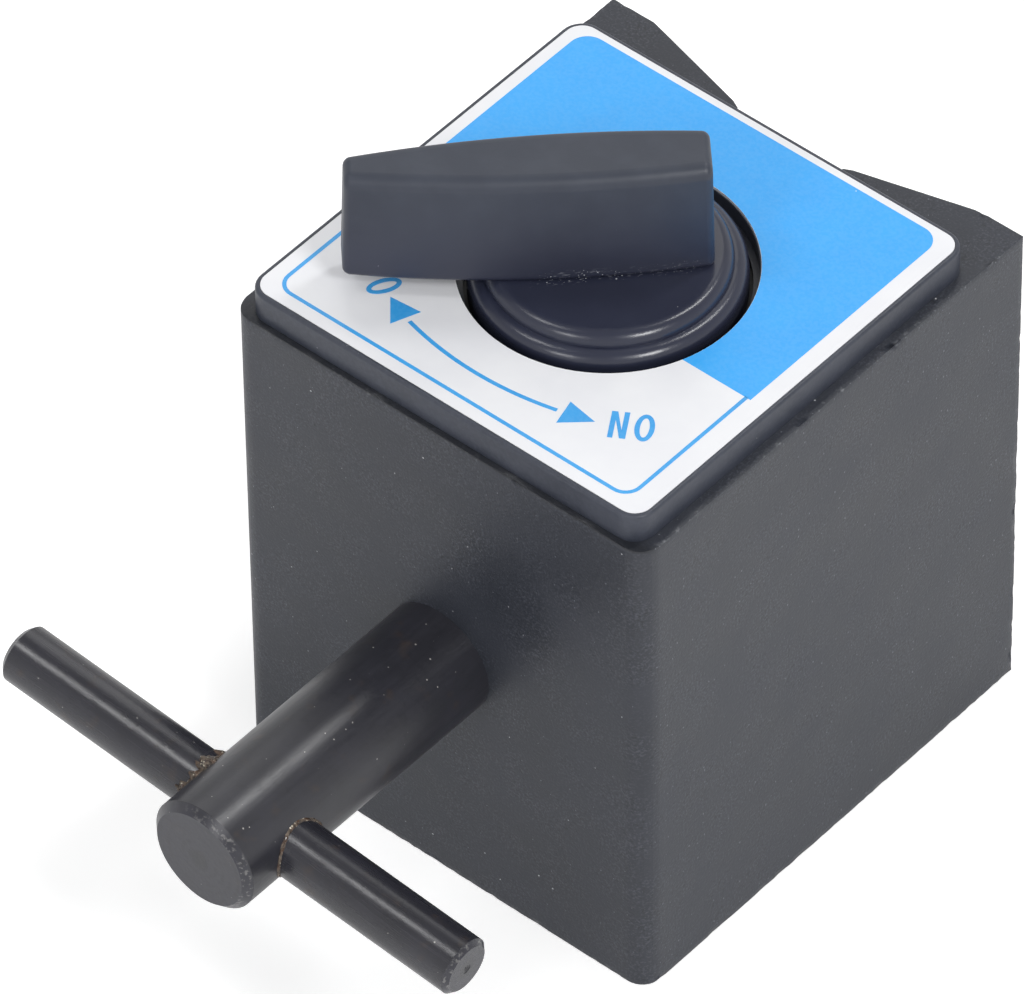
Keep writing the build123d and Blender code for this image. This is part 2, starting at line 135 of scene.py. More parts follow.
def makeTable():
    bm = bmesh.new()
    bmesh.ops.create_grid(bm, x_segments=1, y_segments=1, size=studio["floorSize"] / 2,
                          matrix=Matrix.Translation((0, 0, -studio["floorDrop"] * mm)))
    mesh = bpy.data.meshes.new("tableTop")
    bm.to_mesh(mesh)
    bm.free()
    table = bpy.data.objects.new("tableTop", mesh)
    bpy.context.scene.collection.objects.link(table)
    paper = bpy.data.materials.new("whitePaper")
    paper.use_nodes = True
    tree = paper.node_tree
    tree.nodes.clear()
    matt = addNode(tree, "ShaderNodeBsdfDiffuse", {"Color": linear(studio["floorColour"])})
    glow = addNode(tree, "ShaderNodeEmission", {"Color": linear("#FFFFFF")})
    rays = addNode(tree, "ShaderNodeLightPath")
    seen = addNode(tree, "ShaderNodeMath", {"operation": "MULTIPLY", 1: studio["floorGlow"]},
                   {0: rays.outputs["Is Camera Ray"]})
    both = addNode(tree, "ShaderNodeMath", {"operation": "MULTIPLY_ADD", 1: studio["mirrorGlow"]},
                   {0: rays.outputs["Is Glossy Ray"], 2: seen})
    tree.links.new(both.outputs[0], glow.inputs["Strength"])
    sheet = addNode(tree, "ShaderNodeAddShader", links={0: matt, 1: glow})
    addNode(tree, "ShaderNodeOutputMaterial", links={"Surface": sheet})
    mesh.materials.append(paper)


def hangLamps():
    for name, lamp in lamps.items():
        data = bpy.data.lights.new(name, "AREA")
        data.shape, data.energy = "RECTANGLE", lamp["watts"]
        data.size, data.size_y = lamp["size"]
        box = bpy.data.objects.new(name, data)
        bpy.context.scene.collection.objects.link(box)
        box.location = lamp["at"]
        aim = Vector(studio["lampAim"]) - Vector(lamp["at"])
        box.rotation_euler = aim.to_track_quat("-Z", "Y").to_euler()


makeWorld()
makeTable()
hangLamps()
print("studio lit")

speck = {        # the shape of a speck: few cells of the pattern have one, uneven in outline and in size
    "bend": 1.6,            # size of the bends in its outline, in radii
    "least": 0.35,          # the smallest speck, as a share of the largest
    "core": 0.5,            # share of its radius in which it is full
}


# Finishes. Every size is in millimetres. A pattern is a cloud (soft noise), specks (scattered
# spots), a place on the piece (along an axis, or R for the distance from Z) or a mesh attribute,
# brought to 0..1. "at" and "turn" put its own axes on the piece and "stretch" lengthens it.
# A layer lays its colour where all its patterns are.
def makeFinish(name, look):
    material = bpy.data.materials.new(name)
    material.use_nodes = True
    tree = material.node_tree
    tree.nodes.clear()
    shader = addNode(tree, "ShaderNodeBsdfPrincipled")
    addNode(tree, "ShaderNodeOutputMaterial", links={"Surface": shader})
    place = addNode(tree, "ShaderNodeTexCoord").outputs["Object"]
    for socket, value in look["shader"].items():
        shader.inputs[socket].default_value = value

    made = {}
    for title, pattern in look["patterns"].items():
        unit = 1
        spot = addNode(tree, "ShaderNodeMapping",
                       {"vector_type": "TEXTURE", "Location": [v * mm for v in pattern.get("at", (0, 0, 0))],
                        "Rotation": [radians(v) for v in pattern.get("turn", (0, 0, 0))],
                        "Scale": pattern.get("stretch", (1, 1, 1))}, {"Vector": place})
        if "cloud" in pattern:
            value = addNode(tree, "ShaderNodeTexNoise",
                            {"Scale": 1000 / pattern["cloud"], "Detail": pattern.get("detail", 3.0)},
                            {"Vector": spot})
        elif "specks" in pattern:
            radius, cell = pattern["radius"], pattern["specks"]
            wobble = addNode(tree, "ShaderNodeTexNoise", {"Scale": 1000 / (speck["bend"] * radius), "Detail": 1.0},
                             {"Vector": spot})
            bent = addNode(tree, "ShaderNodeVectorMath", {"operation": "MULTIPLY_ADD", 1: [radius * mm] * 3},
                           {0: wobble.outputs["Color"], 2: spot})
            cells = addNode(tree, "ShaderNodeTexVoronoi", {"Scale": 1000 / cell}, {"Vector": bent})
            pick = addNode(tree, "ShaderNodeSeparateXYZ", links={0: cells.outputs["Color"]})
            size = addNode(tree, "ShaderNodeMapRange", {"To Min": speck["least"], "To Max": 1.0},
                           {"Value": pick.outputs["Y"]})
            reach = addNode(tree, "ShaderNodeMath", {"operation": "DIVIDE"},
                            {0: cells.outputs["Distance"], 1: size})
            near = addNode(tree, "ShaderNodeMapRange",
                           {"From Min": radius / cell, "From Max": speck["core"] * radius / cell}, {"Value": reach})
            chosen = addNode(tree, "ShaderNodeMath", {"operation": "LESS_THAN", 1: pattern["share"]},
                             {0: pick.outputs["X"]})
            value = addNode(tree, "ShaderNodeMath", {"operation": "MULTIPLY"}, {0: near, 1: chosen})
        elif "attribute" in pattern:
            value = addNode(tree, "ShaderNodeAttribute",
                            {"attribute_name": pattern["attribute"]}).outputs["Fac"]
        elif pattern["along"] == "R":
            unit = mm
            flat = addNode(tree, "ShaderNodeVectorMath", {"operation": "MULTIPLY", 1: (1, 1, 0)}, {0: spot})
            value = addNode(tree, "ShaderNodeVectorMath", {"operation": "LENGTH"}, {0: flat}).outputs["Value"]
        else:
            unit = mm
            value = addNode(tree, "ShaderNodeSeparateXYZ", links={0: spot}).outputs[pattern["along"]]
        if "rings" in pattern:        # turned rings this far apart
            unit = 1
            around = addNode(tree, "ShaderNodeMath",
                             {"operation": "MULTIPLY", 1: 2 * pi / (pattern["rings"] * mm)}, {0: value})
            value = addNode(tree, "ShaderNodeMath", {"operation": "SINE"}, {0: around})
        low, high = pattern.get("range", (0.0, 1.0))
        made[title] = addNode(tree, "ShaderNodeMapRange", {"From Min": low * unit, "From Max": high * unit},
                              {"Value": value}).outputs[0]

    colour = None
    for titles, most, shade in look["layers"]:
        share = made[titles[0]]
        for title in titles[1:]:
            share = addNode(tree, "ShaderNodeMath", {"operation": "MULTIPLY"}, {0: share, 1: made[title]})
            share = share.outputs[0]
        share = addNode(tree, "ShaderNodeMath", {"operation": "MULTIPLY", 1: most}, {0: share})
        # sockets 6 and 7 are the colours that Mix blends, and output 2 is its colour
        mixed = addNode(tree, "ShaderNodeMix", {"data_type": "RGBA", 7: linear(shade)}, {0: share})
        if colour is None:
            mixed.inputs[6].default_value = linear(look["colour"])
        else:
            tree.links.new(colour, mixed.inputs[6])
        colour = mixed.outputs[2]
    tree.links.new(colour, shader.inputs["Base Color"])

    rough = None
    for title, low, high in look["rough"]:        # the patterns' shares of the roughness add up
        part = addNode(tree, "ShaderNodeMapRange", {"To Min": low, "To Max": high}, {"Value": made[title]})
        if rough is not None:
            part = addNode(tree, "ShaderNodeMath", {"operation": "ADD"}, {0: rough, 1: part})
        rough = part
    tree.links.new(rough.outputs[0], shader.inputs["Roughness"])

    normal = None
    for title, relief in look["relief"]:
        bump = addNode(tree, "ShaderNodeBump", {"Strength": 1.0, "Distance": relief * mm},
                       {"Height": made[title]})
        if normal is not None:
            tree.links.new(normal.outputs[0], bump.inputs["Normal"])
        normal = bump
    tree.links.new(normal.outputs[0], shader.inputs["Normal"])
    return material


# Thin spray paint over ground iron: a dull blue-grey skin with a fine grain that comes and goes,
# dust nibs and pits in it, rubbed pale where the block's edges wear
paint = makeFinish("sprayedPaint", {
    "colour": "#292C34", "shader": {"IOR": 1.48},
    "patterns": {
        "drift": {"cloud": 9.0, "detail": 4.0, "range": (0.35, 0.65)},
        "patches": {"cloud": 5.0, "detail": 2.0, "range": (0.4, 0.6)},
        "grain": {"cloud": 0.25, "range": (0.5, 0.66)},        # spray grain, drawn coarse so that it shows
        "hollows": {"cloud": 0.36, "range": (0.48, 0.3)},
        "peel": {"cloud": 1.8},
        "flecks": {"specks": 0.75, "radius": 0.1, "share": 0.5, "stretch": (1, 1, 1.5)},
        "dust": {"specks": 1.7, "radius": 0.14, "share": 0.25},
        "pits": {"specks": 1.5, "radius": 0.15, "share": 0.4},
        "edge": {"attribute": "wear", "range": (0.15, 0.9)},
        "rubbed": {"cloud": 0.6, "detail": 4.0, "range": (0.58, 0.72)},
        "coverFootShade": {"along": "Z", "range": (58.2, 58.42)},        # painted shade: the end face darkened along the cover's foot on the post side, where the cover shades it
        "postSideShade": {"along": "Y", "range": (-22.0, -23.6)},
    },
    "layers": [(("drift",), 0.5, "#363942"), (("grain", "patches"), 0.75, "#474A53"),
               (("hollows", "patches"), 0.7, "#1C1E24"), (("grain",), 0.25, "#40434C"),
               (("flecks",), 0.7, "#7B7E86"), (("pits",), 0.8, "#15161A"), (("dust",), 0.9, "#C6C8CC"),
               # the last layer is painted shade along the cover's foot
               (("edge", "rubbed"), 0.5, "#85878B"), (("coverFootShade", "postSideShade"), 0.7, "#15171C")],
    "rough": [("drift", 0.38, 0.46)],
    "relief": [("peel", 0.014), ("grain", 0.006), ("hollows", -0.008)],
})

# Moulded ABS with a satin skin: even dark blue-grey with a soft sheen, a few dust specks
coverPlastic = makeFinish("satinAbs", {
    "colour": "#30343F", "shader": {"IOR": 1.5},
    "patterns": {
        "drift": {"cloud": 7.0, "range": (0.35, 0.65)},
        "skin": {"cloud": 0.4, "range": (0.4, 0.7)},
        "dust": {"specks": 1.7, "radius": 0.1, "share": 0.4},
        "lint": {"specks": 4.0, "radius": 0.12, "share": 0.5, "stretch": (2.5, 1, 1)},
    },
    "layers": [(("drift",), 0.4, "#454955"), (("skin",), 0.3, "#4A4E5A"), (("dust",), 0.7, "#9FA2A8"),
               (("lint",), 0.7, "#B9BBC0")],
    "rough": [("drift", 0.36, 0.46)],
    "relief": [("drift", 0.03), ("skin", 0.005)],
})

# Moulded phenolic: the ring steps keep the mould's gloss, the lever is handled dull and is painted paler towards
# its top and darker low on its sides (painted light and shade), and swarf has scuffed the line where it meets the
# disc
leverFoot = {"at": (3.12, -2.1, 0), "turn": (0, 0, 48.0)}        # X along the lever's foot, Y out from it
scuff = ("scuffBand", "scuffEnd", "scuffFoot", "scuffHead", "scuffLow")
knobPlastic = makeFinish("mouldedPhenolic", {
    "colour": "#282B3B", "shader": {"IOR": 1.55},
    "patterns": {
        "drift": {"cloud": 8.0, "range": (0.35, 0.65)},
        "skin": {"cloud": 0.6, "range": (0.3, 0.7)},
        "lever": {"along": "Z", "range": (63.9, 64.6)},
        # painted light and shade: the lever lighter towards its top and darker low on its sides
        "leverTop": {"along": "Z", "range": (66.0, 76.0)},
        "handled": {"cloud": 2.5, "detail": 4.0, "range": (0.4, 0.7)},
        "dust": {"specks": 2.4, "radius": 0.12, "share": 0.5},
        "scuffBand": {"along": "Y", **leverFoot, "range": (-0.6, -0.1)},
        "scuffEnd": {"along": "Y", **leverFoot, "range": (0.5, 0.1)},
        "scuffFoot": {"along": "X", **leverFoot, "range": (-8.5, -6.5)},
        "scuffHead": {"along": "X", **leverFoot, "range": (8.0, 6.5)},
        "scuffLow": {"along": "Z", "range": (65.2, 64.6)},
        "scratched": {"cloud": 0.22, "detail": 4.0, "turn": leverFoot["turn"], "stretch": (3, 1, 1),
                      "range": (0.58, 0.66)},
        "grit": {"specks": 0.3, "radius": 0.07, "share": 0.7},
    },
    # the leverTop layer is painted light and shade; the handled layer is real handling wear
    "layers": [(("drift",), 0.5, "#2E3243"), (("leverTop",), 0.8, "#2D333F"),
               (("handled", "leverTop"), 0.3, "#3E4450"), (("dust",), 0.8, "#C4C6CC"),
               (("scratched", *scuff), 0.25, "#B4B7C0"), (("grit", *scuff), 0.9, "#DCDFE6")],
    "rough": [("drift", 0.22, 0.27), ("lever", 0.0, 0.22)],
    "relief": [("drift", 0.03), ("skin", 0.003), ("handled", 0.01)],
})

# White polyester sheet: smooth, with a faint sheen and a little dust
film = makeFinish("polyesterSheet", {
    "colour": "#E3E4E8", "shader": {"IOR": 1.5},
    "patterns": {
        "drift": {"cloud": 6.0, "range": (0.35, 0.65)},
        "dust": {"specks": 2.8, "radius": 0.1, "share": 0.35},
    },
    "layers": [(("drift",), 1.0, "#E8E9EC"), (("dust",), 0.7, "#8F939A")],
    "rough": [("drift", 0.3, 0.4)],
    "relief": [("drift", 0.02)],
})

# Screen-printed ink on the sheet: flat and even, with a trace of the screen's mesh in it
inks = {        # colour, and where the ink lies thicker
    "fieldInk": ("#30A3EF", "#36A7F2"),
    "lineInk": ("#329BE0", "#3CA3E6"),
}
fieldInk, lineInk = (makeFinish(name, {
    "colour": colour, "shader": {"IOR": 1.5},
    "patterns": {
        "drift": {"cloud": 4.0, "range": (0.35, 0.65)},
        "mesh": {"cloud": 0.35, "range": (0.4, 0.6)},        # coarser than a real screen, so that it shows
        "dust": {"specks": 2.8, "radius": 0.09, "share": 0.3},
    },
    "layers": [(("drift",), 1.0, deep), (("mesh",), 0.05, "#B4DDFB"), (("dust",), 0.7, "#E8F2FA")],
    "rough": [("drift", 0.32, 0.42)],
    "relief": [("mesh", 0.002)],
}) for name, (colour, deep) in inks.items())

# Black oxide on drawn steel rod: oily near-black with a broad sheen, drawn along its length, dust
# and a breath of rust in the oil, and ends turned to faint rings with a scraped edge
rods = {        # "axis" puts Z along the rod, from the post's end face and from the pin's middle
    "postOxide": {"axis": {"at": (0, -58.15, 28.9), "turn": (90.0, 0, 0)}, "end": (-0.8, -0.6),
                  "farEnd": (40.0, 41.0), "rim": 5.2, "scrapedSide": (-2.5, 2.0), "sheen": (0.31, 0.37)},
    "pinOxide": {"axis": {"at": (0, -50.95, 28.9), "turn": (0, 95.2, 0)}, "end": (25.7, 25.9),
                 "farEnd": (-28.1, -28.3), "rim": 2.5, "scrapedSide": (-4.0, -3.0), "sheen": (0.23, 0.3)},
}
postOxide, pinOxide = (makeFinish(name, {
    "colour": "#232329", "shader": {"IOR": 1.6},
    "patterns": {
        "drawn": {"cloud": 0.35, "turn": rod["axis"]["turn"], "stretch": (1, 1, 14), "range": (0.35, 0.7)},
        "drift": {"cloud": 4.0, "range": (0.35, 0.65)},
        "blotch": {"cloud": 1.1, "detail": 4.0, "range": (0.52, 0.68)},
        "dust": {"specks": 0.9, "radius": 0.11, "share": 0.5},
        "rust": {"cloud": 2.2, "detail": 4.0, "range": (0.6, 0.75)},
        "scratch": {"specks": 2.6, "radius": 0.07, "share": 0.4, "turn": rod["axis"]["turn"],
                    "stretch": (1, 1, 9)},
        "rings": {"along": "R", **rod["axis"], "rings": 0.9, "range": (-0.6, 1.0)},        # wide, so that they show
        "worn": {"cloud": 1.6, "detail": 3.0, "range": (0.42, 0.6)},
        "end": {"along": "Z", **rod["axis"], "range": rod["end"]},
        "farEnd": {"along": "Z", **rod["axis"], "range": rod["farEnd"]},
        "nub": {"along": "R", **rod["axis"], "range": (1.2, 0.8)},
        "chamfer": {"along": "R", **rod["axis"], "range": (rod["rim"] - 0.15, rod["rim"] + 0.05)},
        "scraped": {"cloud": 0.4, "detail": 4.0, "range": (0.54, 0.66)},
        "scrapedSide": {"along": "X", **rod["axis"], "range": rod["scrapedSide"]},
    },
    "layers": [(("drift",), 0.6, "#2B2B33"), (("drawn",), 0.25, "#303038"), (("blotch",), 0.2, "#1A1A1F"),
               (("rust",), 0.35, "#46392F"), (("scratch",), 0.6, "#8A8B8F"), (("dust",), 0.8, "#B4B1AD"),
               (("end",), 0.6, "#2A2A35"), (("farEnd",), 0.6, "#2A2A35"),
               (("rings", "end", "worn"), 0.4, "#17171D"), (("nub", "end"), 0.7, "#1A1A20"),
               (("end", "chamfer", "scraped", "scrapedSide"), 0.6, "#7E7D7C"),
               (("farEnd", "chamfer", "scraped"), 0.4, "#7E7D7C")],
    "rough": [("drawn", *rod["sheen"])],
    "relief": [("drawn", 0.002), ("blotch", 0.006)],
}) for name, rod in rods.items())

# Set adhesive with rust and grit caught in it: dark brown, lumpy, glittering where grit stands out
adhesive = makeFinish("grittyAdhesive", {
    "colour": "#2A211C", "shader": {"IOR": 1.5},
    "patterns": {
        "lumps": {"cloud": 0.4, "detail": 4.0, "range": (0.4, 0.6)},
        "grit": {"specks": 0.36, "radius": 0.15, "share": 0.55},
        "rust": {"cloud": 0.9, "range": (0.45, 0.6)},
    },
    "layers": [(("lumps",), 0.8, "#6E6256"), (("rust",), 0.5, "#6B4E3C"), (("grit",), 0.95, "#D9D0BE")],
    "rough": [("lumps", 0.2, 0.6)],
    "relief": [("lumps", 0.12), ("grit", 0.05)],
})

# Aluminium disc coloured near black as painted shade, dull and dark, so the gap round the knob reads as shade and
# nothing shines up through it
discAluminium = makeFinish("discDarkAsShade", {
    "colour": "#15161A", "shader": {"IOR": 1.6},
    "patterns": {
        "lay": {"cloud": 0.3, "range": (0.3, 0.7)},
        "drift": {"cloud": 4.0, "range": (0.35, 0.65)},
    },
    "layers": [(("drift",), 1.0, "#1B1C21")],
    "rough": [("lay", 0.45, 0.6)],
    "relief": [("lay", 0.004)],
})

# Bare metals of the inside: turned, ground, plated or sintered, each with its lay, drawn coarse
# enough to show. Each has its colour and paler clouds, the lay's size, the roughness and the relief
metals = {
    "turnedAluminium": ("#B4B6B8", "#C6C8CA", 0.3, 0.38, 0.004),        # pale, soft turning marks
    "zincPlate": ("#A9ABAC", "#BDBFC0", 0.25, 0.32, 0.003),             # bright, faintly clouded
    "sinteredBronze": ("#A27B52", "#B48A5C", 0.2, 0.5, 0.01),           # dull, open grain
    "turnedBrass": ("#C4A25A", "#D0AE66", 0.3, 0.34, 0.004),            # yellow, soft turning marks
    "groundIron": ("#84868A", "#96989B", 0.25, 0.42, 0.005),            # grey, ground lay
    "sinteredMagnet": ("#3A3B3E", "#47484B", 0.2, 0.6, 0.012),          # near-black, ceramic grain
}
aluminium, zinc, bronze, brass, iron, magnetSinter = (makeFinish(name, {
    "colour": colour, "shader": {"Metallic": 1.0},
    "patterns": {
        "lay": {"cloud": size, "range": (0.3, 0.7)},
        "drift": {"cloud": 4.0, "range": (0.35, 0.65)},
    },
    "layers": [(("drift",), 1.0, pale)],
    "rough": [("lay", rough - 0.08, rough + 0.08)],
    "relief": [("lay", relief)],
}) for name, (colour, pale, size, rough, relief) in metals.items())

nodeMaterials = {
    "pole_left": paint, "pole_right": paint, "post_strip": paint, "groove_strip": paint,
    "front_cover": coverPlastic, "front_label": film, "knob": knobPlastic,
    "tee_post": postOxide, "cross_pin": pinOxide, "pin_beads": adhesive,
    "front_disc": discAluminium, "rear_plate": aluminium,
    "cover_screws": zinc, "rear_screws": zinc, "stop_pin": zinc, "knob_pin": zinc,
    "front_bush": bronze, "rear_bush": bronze, "thrust_washer": bronze,
    "rotor_rear_flange": brass, "rotor_front_flange": brass, "rotor_rivets": brass,
    "rotor_pole_front": iron, "rotor_pole_back": iron, "rotor_magnets": magnetSinter,
}
for name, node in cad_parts.items():
    node.data.materials.clear()
    node.data.materials.append(nodeMaterials[name])
print("materials on", len(nodeMaterials), "nodes")


def newPiece(name, bm, material, body, smooth=True):
    mesh = bpy.data.meshes.new(name)
    bm.to_mesh(mesh)
    bm.free()
    for face in mesh.polygons:
        face.use_smooth = smooth
    mesh.materials.append(material)
    piece = bpy.data.objects.new(name, mesh)
    bpy.context.scene.collection.objects.link(piece)
    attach(piece, body)
    return piece


def loopEdges(verts):        # the edges between these vertices
    kept = set(verts)
    edges = dict.fromkeys(edge for vert in verts for edge in vert.link_edges)
    return [edge for edge in edges if edge.verts[0] in kept and edge.verts[1] in kept]


def newVerts(items):
    return [item for item in items if isinstance(item, bmesh.types.BMVert)]


def cutAlong(bm, point, normal, near, **sides):        # cuts the whole mesh along a plane
    bmesh.ops.bisect_plane(bm, geom=[*bm.verts, *bm.edges, *bm.faces], dist=near, plane_co=point,
                           plane_no=normal, **sides)


def roundedPlate(bm, left, right, low, high, roundings):        # radii from the low left corner, anticlockwise
    corners = ((left, low), (right, low), (right, high), (left, high))
    verts = [bm.verts.new((x * mm, y * mm, 0)) for x, y in corners]
    bm.faces.new(verts)
    for vert, radius in zip(verts, roundings):
        if radius:
            bmesh.ops.bevel(bm, geom=[vert], offset=radius * mm, segments=10, profile=0.5,
                            affect="VERTICES", material=-1)
    bm.faces.ensure_lookup_table()
    return bm.faces[-1]


# Painted block: both poles and the strips between them under one coat of paint
block = {
    "halfWidth": 25.0, "postFace": -24.45, "landFace": 30.15, "length": 58.5,
    "cornerRound": 2.2, "cornerSteps": 8,
    "grooveHalf": 19.9, "grooveAngle": 15.0, "grooveDepth": 4.9, "stripHalf": 6.4,
    "reliefWidth": 0.9, "reliefDrop": 0.45,
    "bore": 16.0, "frontSeat": 19.0, "frontSeatDepth": 4.0, "boreSteps": 96,
    "rearPocket": 21.0, "rearPocketDepth": 3.5, "rearPocketRound": 4.0,
    "paintRound": 0.22, "roundFrom": 12.0, "lengthwiseFrom": 20.0,        # bends from so many degrees are rounded
    "sideSkin": 2.5, "postSkin": 0.1, "landSkin": 5.5, "endSkin": 0.1,    # how deep the painted outline reaches
    "meshStep": 0.7,                                                      # grid that carries the wear
    "wave": 0.015, "waveLength": 6.0,
    "edgeWear": 0.16, "edgeReach": 0.45, "landReach": 1.0,
    "chip": 0.9, "chipDrift": 3.1, "driftShare": 0.45,                    # sizes of the chips and of their drift
}


def blockShell():
    half, strip = block["halfWidth"], block["stripHalf"]
    run = block["grooveHalf"] - strip - block["reliefWidth"]
    flankEnd = block["landFace"] - run * tan(radians(block["grooveAngle"]))
    right = [(half, block["postFace"]), (half, block["landFace"]), (block["grooveHalf"], block["landFace"]),
             (strip + block["reliefWidth"], flankEnd), (strip, flankEnd - block["reliefDrop"]),
             (strip, block["landFace"] - block["grooveDepth"])]
    outline = right + [(-x, y) for x, y in reversed(right)]
    bm = bmesh.new()
    verts = [bm.verts.new((x * mm, y * mm, 0)) for x, y in outline]
    bm.faces.new(verts)
    bmesh.ops.bevel(bm, geom=[verts[0], verts[-1]], offset=block["cornerRound"] * mm,
                    segments=block["cornerSteps"], profile=0.5, affect="VERTICES", material=-1)
    bm.faces.ensure_lookup_table()
    rearRim = list(bm.faces[0].edges)
    bmesh.ops.delete(bm, geom=[bm.faces[0]], context="FACES_ONLY")
    frontVerts = newVerts(bmesh.ops.extrude_edge_only(bm, edges=rearRim)["geom"])
    bmesh.ops.translate(bm, verts=frontVerts, vec=(0, 0, block["length"] * mm))
    frontRim = loopEdges(frontVerts)

    reach = block["rearPocket"]
    pocket = roundedPlate(bm, -reach, reach, -reach, reach, [block["rearPocketRound"]] * 4)
    pocketEdges = list(pocket.edges)
    bmesh.ops.delete(bm, geom=[pocket], context="FACES_ONLY")
    bmesh.ops.triangle_fill(bm, use_beauty=True, use_dissolve=False, edges=rearRim + pocketEdges)
    seat = bmesh.ops.create_circle(bm, cap_ends=False, segments=block["boreSteps"],
                                   radius=block["frontSeat"] * mm,
                                   matrix=Matrix.Translation((0, 0, block["length"] * mm)))["verts"]
    seatEdges = loopEdges(seat)
    bmesh.ops.triangle_fill(bm, use_beauty=True, use_dissolve=False, edges=frontRim + seatEdges)

    levels = []
    for edges, height in ((pocketEdges, block["rearPocketDepth"]), (seatEdges, -block["frontSeatDepth"])):
        moved = newVerts(bmesh.ops.extrude_edge_only(bm, edges=edges)["geom"])
        bmesh.ops.translate(bm, verts=moved, vec=(0, 0, height * mm))
        bore = bmesh.ops.create_circle(bm, cap_ends=False, segments=block["boreSteps"],
                                       radius=block["bore"] * mm,
                                       matrix=Matrix.Translation((0, 0, moved[0].co.z)))["verts"]
        boreEdges = loopEdges(bore)
        bmesh.ops.triangle_fill(bm, use_beauty=True, use_dissolve=False, edges=loopEdges(moved) + boreEdges)
        levels += boreEdges
    bmesh.ops.bridge_loops(bm, edges=levels)
    bmesh.ops.remove_doubles(bm, verts=bm.verts, dist=1e-7)
    bmesh.ops.recalc_face_normals(bm, faces=bm.faces)
    return bm


def onPaint(vert):        # on the painted outline, not in the bore or a pocket
    x, y = abs(vert.co.x) / mm, vert.co.y / mm
    return (x > block["halfWidth"] - block["sideSkin"] or y < block["postFace"] + block["postSkin"]
            or y > block["landFace"] - block["landSkin"])


def paintRounds(edge):        # an outer edge sharp enough for the paint to round it
    if len(edge.link_faces) != 2 or not (onPaint(edge.verts[0]) and onPaint(edge.verts[1])):
        return False
    lengthwise = abs(edge.verts[0].co.z - edge.verts[1].co.z) > mm
    return edge.calc_face_angle() > radians(block["lengthwiseFrom" if lengthwise else "roundFrom"])


def cutGrid(bm, axis, low, high):        # even cuts across one axis
    normal = [0, 0, 0]
    normal[axis] = 1
    count = int((high - low) / block["meshStep"])
    for index in range(1, count):
        point = [0, 0, 0]
        point[axis] = (low + (high - low) * index / count) * mm
        cutAlong(bm, point, normal, 1e-7)


def wearPaint(bm):        # lets the painted faces wave a little and chips their edges
    wear = bm.verts.layers.float.new("wear")        # 1 along the outer edges, for the paint's rubbed places
    moves = []
    for vert in bm.verts:
        if not onPaint(vert) and block["endSkin"] * mm < vert.co.z < (block["length"] - block["endSkin"]) * mm:
            continue
        x, y, z = vert.co / mm
        toLand = block["landFace"] - y if abs(x) > block["grooveHalf"] - block["landReach"] else block["length"]
        gaps = sorted((block["halfWidth"] - abs(x), y - block["postFace"], toLand, z, block["length"] - z))
        near = max(0.0, 1 - gaps[1] / block["edgeReach"])        # an edge is close to two faces
        vert[wear] = near
        spot = Vector((x, y, z))
        wave = noise.noise(spot / block["waveLength"]) * block["wave"]
        chip = noise.noise(spot / block["chip"]) + block["driftShare"] * noise.noise(spot / block["chipDrift"])
        sunk = abs(wave) + max(0.0, chip) * near * block["edgeWear"]
        moves.append((vert, -vert.normal * sunk * mm))
    for vert, move in moves:
        vert.co += move


def makeBlock():
    bm = blockShell()
    sharp = [edge for edge in bm.edges if paintRounds(edge)]
    bmesh.ops.bevel(bm, geom=sharp, offset=block["paintRound"] * mm, segments=2, profile=0.5,
                    affect="EDGES", material=-1, clamp_overlap=True)
    cutGrid(bm, 0, -block["halfWidth"], block["halfWidth"])
    cutGrid(bm, 1, block["postFace"], block["landFace"])
    cutGrid(bm, 2, 0, block["length"])
    bmesh.ops.remove_doubles(bm, verts=bm.verts, dist=1e-6)
    bm.normal_update()
    wearPaint(bm)
    return bm


paintedBlock = newPiece("painted_block", makeBlock(), paint, "base")
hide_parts("pole_left", "pole_right", "post_strip", "groove_strip")
print("painted block:", len(paintedBlock.data.polygons), "faces")

# Where the pin enters the post: dark collars fill the pin's narrow middle up to the post, and a bead
# of adhesive runs round each, thin on the right arm, ragged and gritty on the left one. Oxide nearly
# fills the centre marks in the pin's ends
pinJoint = {
    "centre": (0, -50.95, 28.9), "turn": -5.2, "postRadius": 6.0, "pinRadius": 3.0,
    "ends": ((1, 26.3), (-1, 28.7)),                        # side, and how far the arm's end is out
    "collarRadius": 3.003, "collarWall": 0.5, "collarFrom": 5.0, "collarTo": 6.45, "collarSteps": 96,
    "support": 0.02,                                        # vertices this near a corner keep the round face flat
    "markRadius": 0.498, "markSteps": 32,
    "markRim": 0.03, "markDepth": 0.18, "markBottom": 0.45,        # measured in from the pin's ends
    # section of a bead: radius above the pin and run along it, each as a share of its height and width
    "beadSection": ((-0.3, -0.6), (-0.3, 1.0), (0.1, 1.0), (0.55, 0.62), (0.85, 0.3), (1.0, -0.25)),
    "beadSteps": 160, "beadSink": 0.02,
    "ragged": ((1.7, 0.9), (4.3, 0.5)),                     # scales and weights of the noise
    "raggedMean": 0.35, "raggedHeight": 0.5,
    "lumps": 6.0, "lumpsAlong": 4, "lumpShare": 0.35,
    "shift": 9.0,                                           # between the two beads' noise
}
beadSizes = {        # "lean" is how the bead gathers: along Z, along Y, and everywhere
    1: {"width": 0.2, "height": 0.18, "spread": 0.22, "lump": 0.7, "lean": (0.0, 0.0, 0.5)},
    -1: {"width": 0.3, "height": 0.22, "spread": 1.25, "lump": 0.9, "lean": (0.8, -0.3, 0.2)},
}


def pinPlace(side):        # local Z runs out along the pin's right or left arm, local X along the post's axis
    tilt = Matrix.Rotation(radians(90 - pinJoint["turn"]), 4, "Y")
    stand = Matrix.Rotation(side * pi / 2, 4, "Z")
    flip = Matrix.Identity(4) if side > 0 else Matrix.Rotation(pi, 4, "X")
    return Matrix.Translation(Vector(pinJoint["centre"]) * mm) @ tilt @ flip @ stand


